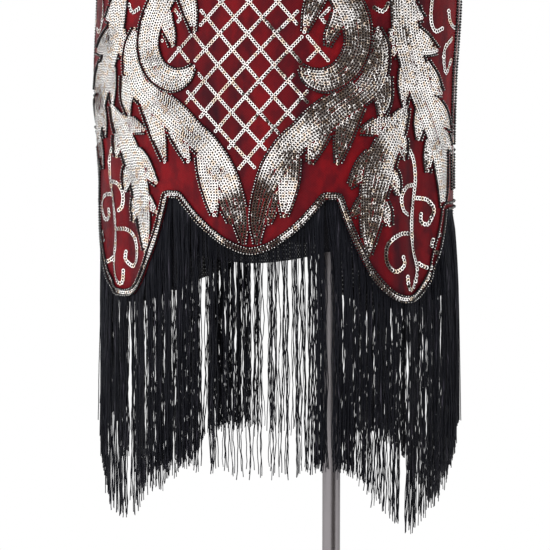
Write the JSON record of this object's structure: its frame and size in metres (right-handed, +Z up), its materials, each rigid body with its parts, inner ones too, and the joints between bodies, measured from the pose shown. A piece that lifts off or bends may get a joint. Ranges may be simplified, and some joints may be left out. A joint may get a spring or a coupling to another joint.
{
  "type": "flapper dress on a dress form",
  "caption": "Sleeveless straight beaded dress with a scalloped sequin-edged hem and long black fringe, worn by a limbless dress form on a pole and a round foot.",
  "frame": {"origin": "on the floor, at the middle of the foot's underside, under the middle of the dress", "axes": "+Z up along the body; the dress's front faces -Y; +X is to the right as the front is seen"},
  "size_m": [0.3847, 0.344, 1.4943],
  "materials": {
    "red_cloth": "dark red satin under fine black net, covered in sequin and bead work",
    "black_net": "fine black net, matt",
    "black_fringe": "black twisted rayon strands with a soft sheen",
    "sequins": "silvery champagne sequins, mirror-like",
    "form_cover": "tight plain cover, matt",
    "steel": "satin steel"
  },
  "bodies": {
    "root": {"front_panel": "red_cloth", "back_panel": "red_cloth", "front_hem_trim": "sequins", "back_hem_trim": "sequins", "front_fringe_band": "black_net", "back_fringe_band": "black_net", "front_fringe": "black_fringe", "back_fringe": "black_fringe", "form_torso": "form_cover", "form_neck_cap": "steel", "stand_flange": "steel", "stand_pole": "steel", "stand_hub": "steel", "stand_foot": "steel"}
  },
  "joints": []
}
